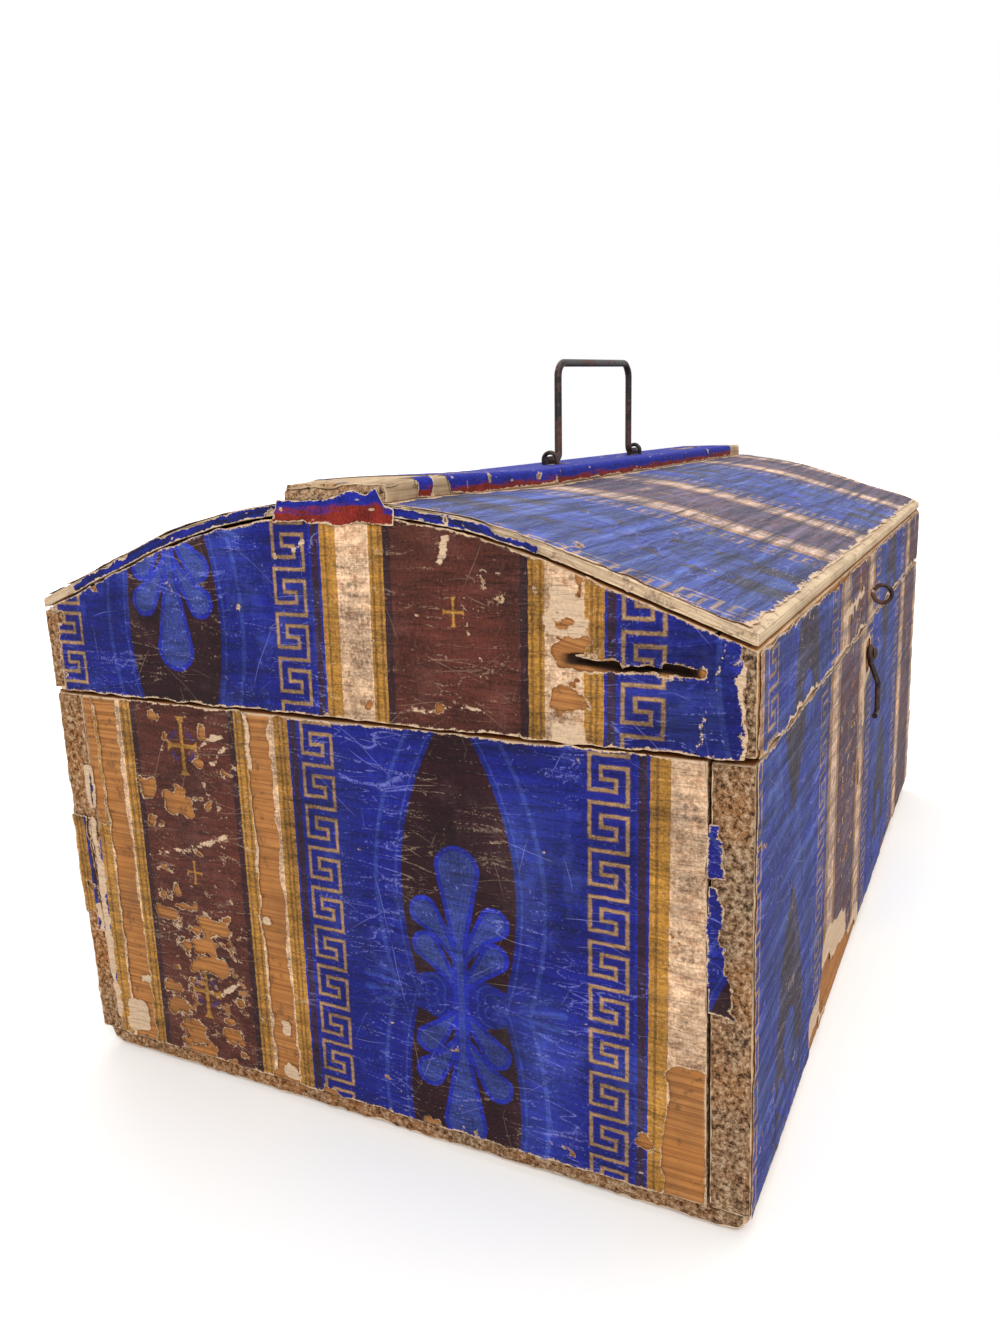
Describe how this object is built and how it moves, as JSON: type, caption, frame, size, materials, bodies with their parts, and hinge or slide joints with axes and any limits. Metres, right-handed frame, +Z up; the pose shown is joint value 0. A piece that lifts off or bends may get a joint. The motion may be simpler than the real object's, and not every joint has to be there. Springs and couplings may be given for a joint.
{
  "type": "dome-top dowry box",
  "caption": "Small wooden storage box covered in old printed wallpaper, with a domed hinged lid, a wire bail handle on a ridge batten and a hook-and-eye catch.",
  "frame": {"origin": "centre of the underside of the bottom board", "axes": "+X along the length, to the right seen from the front, -Y towards the front with the catch, +Z up"},
  "size_m": [0.48, 0.3197, 0.3059],
  "materials": {
    "papered_wood": "aged matte wallpaper over softwood, worn through in places",
    "bare_wood": "bare, rough sawn and worn",
    "iron": "dark iron wire with brown rust"
  },
  "bodies": {
    "box": {"bottom_board": "bare_wood", "front_board": "papered_wood", "back_board": "papered_wood", "left_end_board": "papered_wood", "right_end_board": "papered_wood", "hook_nail": "iron", "hinge_staple_left": "iron", "hinge_staple_right": "iron", "body_corner_nail_1": "iron", "body_corner_nail_2": "iron", "body_corner_nail_3": "iron", "body_corner_nail_4": "iron", "body_corner_nail_5": "iron", "body_corner_nail_6": "iron", "body_corner_nail_7": "iron", "body_corner_nail_8": "iron", "bottom_nail_1": "iron", "bottom_nail_2": "iron", "bottom_nail_3": "iron", "bottom_nail_4": "iron", "bottom_nail_5": "iron", "bottom_nail_6": "iron"},
    "lid": {"lid_front_rail": "papered_wood", "lid_back_rail": "papered_wood", "lid_left_gable": "papered_wood", "lid_right_gable": "papered_wood", "dome_sheet": "papered_wood", "ridge_batten": "papered_wood", "handle_staple_left": "iron", "handle_staple_right": "iron", "lid_eye": "iron", "hinge_eye_left": "iron", "hinge_eye_right": "iron", "lid_corner_nail_1": "iron", "lid_corner_nail_2": "iron", "lid_corner_nail_3": "iron", "lid_corner_nail_4": "iron", "dome_nail_1": "iron", "dome_nail_2": "iron", "dome_nail_3": "iron", "dome_nail_4": "iron", "dome_nail_5": "iron", "dome_nail_6": "iron", "dome_nail_7": "iron", "dome_nail_8": "iron", "dome_nail_9": "iron", "dome_nail_10": "iron", "batten_nail_1": "iron", "batten_nail_2": "iron"},
    "handle": {"bail_handle": "iron"},
    "hook": {"latch_hook": "iron"}
  },
  "joints": [
    {"name": "lid_hinge", "type": "hinge", "parent": "box", "child": "lid", "pos_m": [0, 0.1544, 0.163], "axis": [-1, 0, 0], "range_deg": [0, 180]},
    {"name": "bail_pivot", "type": "hinge", "parent": "lid", "child": "handle", "pos_m": [0.0082, -0.0025, 0.2538], "axis": [1, 0, 0], "range_deg": [-90, 90]},
    {"name": "hook_pivot", "type": "hinge", "parent": "box", "child": "hook", "pos_m": [-0.00155, -0.1517, 0.1525], "axis": [0, 1, 0], "range_deg": [0, 180]}
  ]
}
